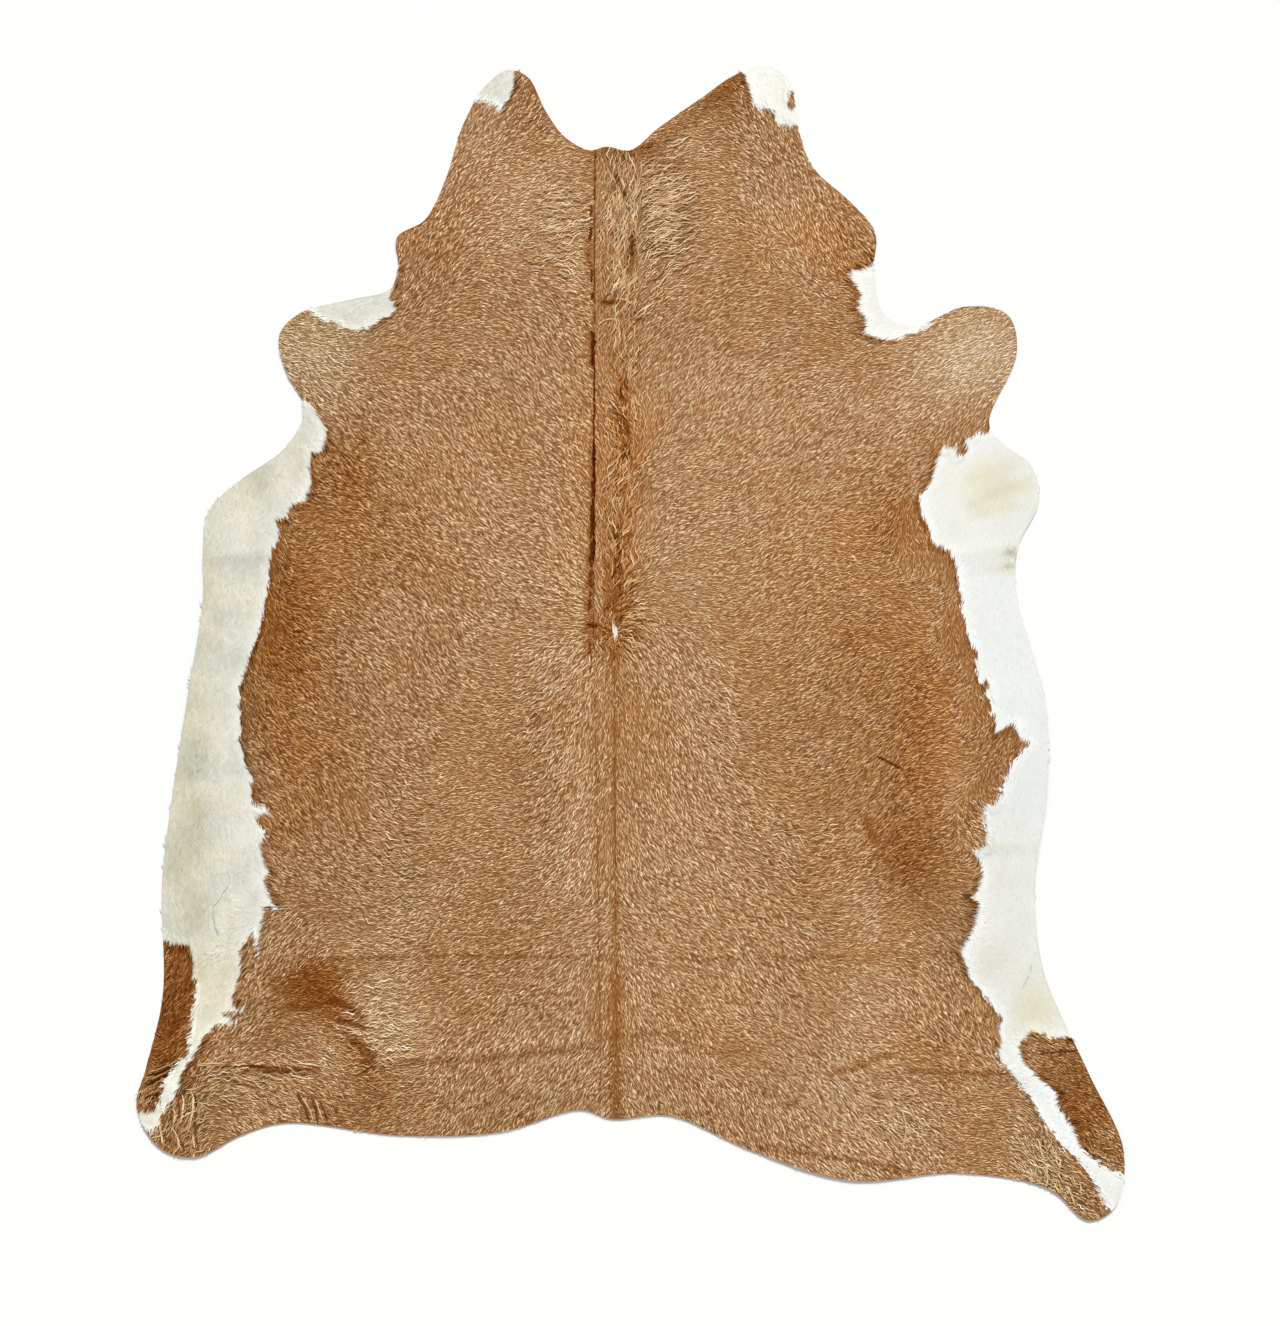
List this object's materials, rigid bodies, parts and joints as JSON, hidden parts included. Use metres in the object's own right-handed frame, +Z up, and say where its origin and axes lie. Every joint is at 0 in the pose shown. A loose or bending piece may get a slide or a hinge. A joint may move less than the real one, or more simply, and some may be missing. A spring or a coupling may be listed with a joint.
{
  "type": "cowhide rug",
  "caption": "Whole cowhide floor rug with its hair on, lying flat in the natural outline of neck, legs and rump, tan with white flanks.",
  "frame": {"origin": "on the floor, at the middle of the rug's bounding box", "axes": "+X to the hide's right side seen from above with the neck up, +Y towards the neck, +Z up from the floor"},
  "size_m": [1.8266, 2.135, 0.0106],
  "materials": {
    "tan_hair": "short lying cattle hair, satin sheen",
    "white_hair": "short fine white cattle hair, satin sheen",
    "suede": "matt flesh side and pale cut edge"
  },
  "bodies": {
    "root": {"hide": "tan_hair"}
  },
  "joints": []
}
